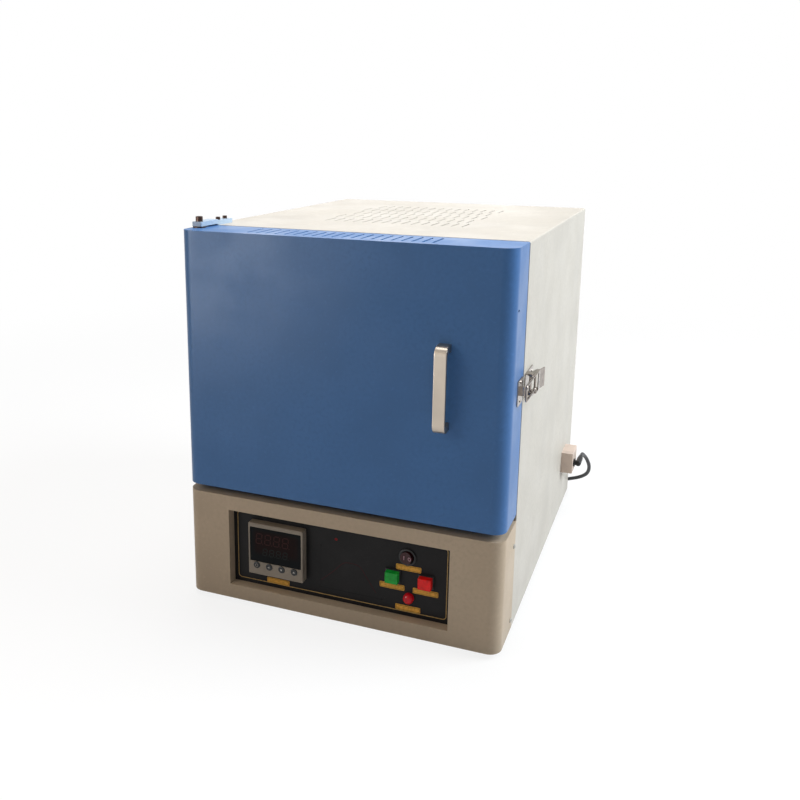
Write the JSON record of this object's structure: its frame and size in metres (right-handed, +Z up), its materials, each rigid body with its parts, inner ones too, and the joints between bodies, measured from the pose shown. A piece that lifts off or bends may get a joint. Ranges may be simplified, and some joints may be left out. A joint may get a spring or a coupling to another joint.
{
  "type": "muffle furnace",
  "caption": "Bench-top muffle furnace with a side-hinged door, a fibre-lined heated chamber and a control base.",
  "frame": {"origin": "on the surface that the feet stand on, under the middle of the furnace's bounding box without its free mains cord", "axes": "+X to the right as seen from the front, +Y from the door to the back, +Z up"},
  "size_m": [0.5694, 0.8292, 0.6263],
  "materials": {
    "cover_paint": "satin",
    "door_paint": "satin",
    "inner_sheet": "matte",
    "frame_paint": "matte",
    "foot_rubber": "matte",
    "plated_steel": "satin",
    "fibre_board": "matte",
    "gasket_rope": "matte",
    "hearth_ceramic": "matte",
    "element_alloy": "matte",
    "insulator_ceramic": "satin",
    "head_aluminium": "satin",
    "panel_black": "satin",
    "housing_black": "satin",
    "window_dark": "gloss",
    "key_grey": "matte",
    "lens_green": "satin",
    "lens_red": "satin",
    "device_plastic": "matte",
    "box_paint": "matte",
    "gland_plastic": "matte",
    "cord_sheath": "satin",
    "hinge_steel": "satin",
    "black_steel": "satin",
    "latch_chrome": "polished",
    "handle_metal": "satin"
  },
  "bodies": {
    "cabinet": {"outer_cover": "cover_paint", "rear_panel": "cover_paint", "lower_front_panel": "cover_paint", "base_tray": "inner_sheet", "base_deck": "inner_sheet", "shell_rails": "inner_sheet", "inner_shell": "inner_sheet", "front_frame": "frame_paint", "feet": "foot_rubber", "casing_screws": "plated_steel", "insulation_floor": "fibre_board", "insulation_roof": "fibre_board", "insulation_left": "fibre_board", "insulation_right": "fibre_board", "insulation_rear": "fibre_board", "hearth_plate": "hearth_ceramic", "heating_element_left": "element_alloy", "heating_element_right": "element_alloy", "element_insulators": "insulator_ceramic", "thermocouple": "insulator_ceramic", "thermocouple_head": "head_aluminium", "control_panel": "panel_black", "controller_housing": "housing_black", "controller_window": "window_dark", "rocker_housing": "housing_black", "start_button_collar": "housing_black", "stop_button_collar": "housing_black", "indicator_lamp": "lens_red", "contactor": "device_plastic", "solid_state_relay": "device_plastic", "heat_sink": "head_aluminium", "fan_housing": "housing_black", "fan_guard": "plated_steel", "cable_box": "box_paint", "cable_gland": "gland_plastic", "mains_cord": "cord_sheath", "mains_cord_coil": "cord_sheath", "mains_plug": "cord_sheath", "upper_hinge_strap": "hinge_steel", "hinge_screws": "black_steel", "pivot_bolt": "black_steel", "lower_hinge_pin": "hinge_steel", "latch_base": "latch_chrome"},
    "door": {"door_shell": "door_paint", "door_inner_plate": "frame_paint", "door_plug": "fibre_board", "door_gasket": "gasket_rope", "door_handle": "handle_metal", "hinge_bushes": "black_steel", "latch_catch": "latch_chrome"},
    "latch_lever": {"latch_lever": "latch_chrome"},
    "latch_loop": {"latch_loop": "latch_chrome"},
    "power_rocker": {"power_rocker": "housing_black"},
    "start_button": {"start_button": "lens_green"},
    "stop_button": {"stop_button": "lens_red"},
    "fan_rotor": {"fan_rotor": "housing_black"},
    "controller_key_1": {"controller_key_1": "key_grey"},
    "controller_key_2": {"controller_key_2": "key_grey"},
    "controller_key_3": {"controller_key_3": "key_grey"},
    "controller_key_4": {"controller_key_4": "key_grey"}
  },
  "joints": [
    {"name": "door_swing", "type": "hinge", "parent": "cabinet", "child": "door", "pos_m": [-0.26665, -0.2829, 0.404], "axis": [0, 0, -1], "range_deg": [0, 120]},
    {"name": "latch_lever_swing", "type": "hinge", "parent": "cabinet", "child": "latch_lever", "pos_m": [0.24985, -0.2249, 0.398], "axis": [0, 0, -1], "range_deg": [0, 110]},
    {"name": "latch_loop_swing", "type": "hinge", "parent": "latch_lever", "child": "latch_loop", "pos_m": [0.25435, -0.2109, 0.398], "axis": [0, 0, -1], "range_deg": [-132, 0]},
    {"name": "power_rocker_tilt", "type": "hinge", "parent": "cabinet", "child": "power_rocker", "pos_m": [0.09435, -0.3049, 0.131], "axis": [0, 0, 1], "range_deg": [0, 16]},
    {"name": "start_button_press", "type": "slide", "parent": "cabinet", "child": "start_button", "axis": [0, 1, 0], "range_m": [0, 0.003], "stiffness_N_per_m": 300},
    {"name": "stop_button_press", "type": "slide", "parent": "cabinet", "child": "stop_button", "axis": [0, 1, 0], "range_m": [0, 0.003], "stiffness_N_per_m": 300},
    {"name": "controller_key_1_press", "type": "slide", "parent": "cabinet", "child": "controller_key_1", "axis": [0, 1, 0], "range_m": [0, 0.0008], "stiffness_N_per_m": 200},
    {"name": "controller_key_2_press", "type": "slide", "parent": "cabinet", "child": "controller_key_2", "axis": [0, 1, 0], "range_m": [0, 0.0008], "stiffness_N_per_m": 200},
    {"name": "controller_key_3_press", "type": "slide", "parent": "cabinet", "child": "controller_key_3", "axis": [0, 1, 0], "range_m": [0, 0.0008], "stiffness_N_per_m": 200},
    {"name": "controller_key_4_press", "type": "slide", "parent": "cabinet", "child": "controller_key_4", "axis": [0, 1, 0], "range_m": [0, 0.0008], "stiffness_N_per_m": 200},
    {"name": "fan_spin", "type": "hinge", "parent": "cabinet", "child": "fan_rotor", "pos_m": [0.10235, 0.3311, 0.109], "axis": [0, 1, 0], "continuous": true}
  ],
  "couplings": [
    {"joint": "latch_loop_swing", "follows": "latch_lever_swing", "ratio": -1.2}
  ]
}
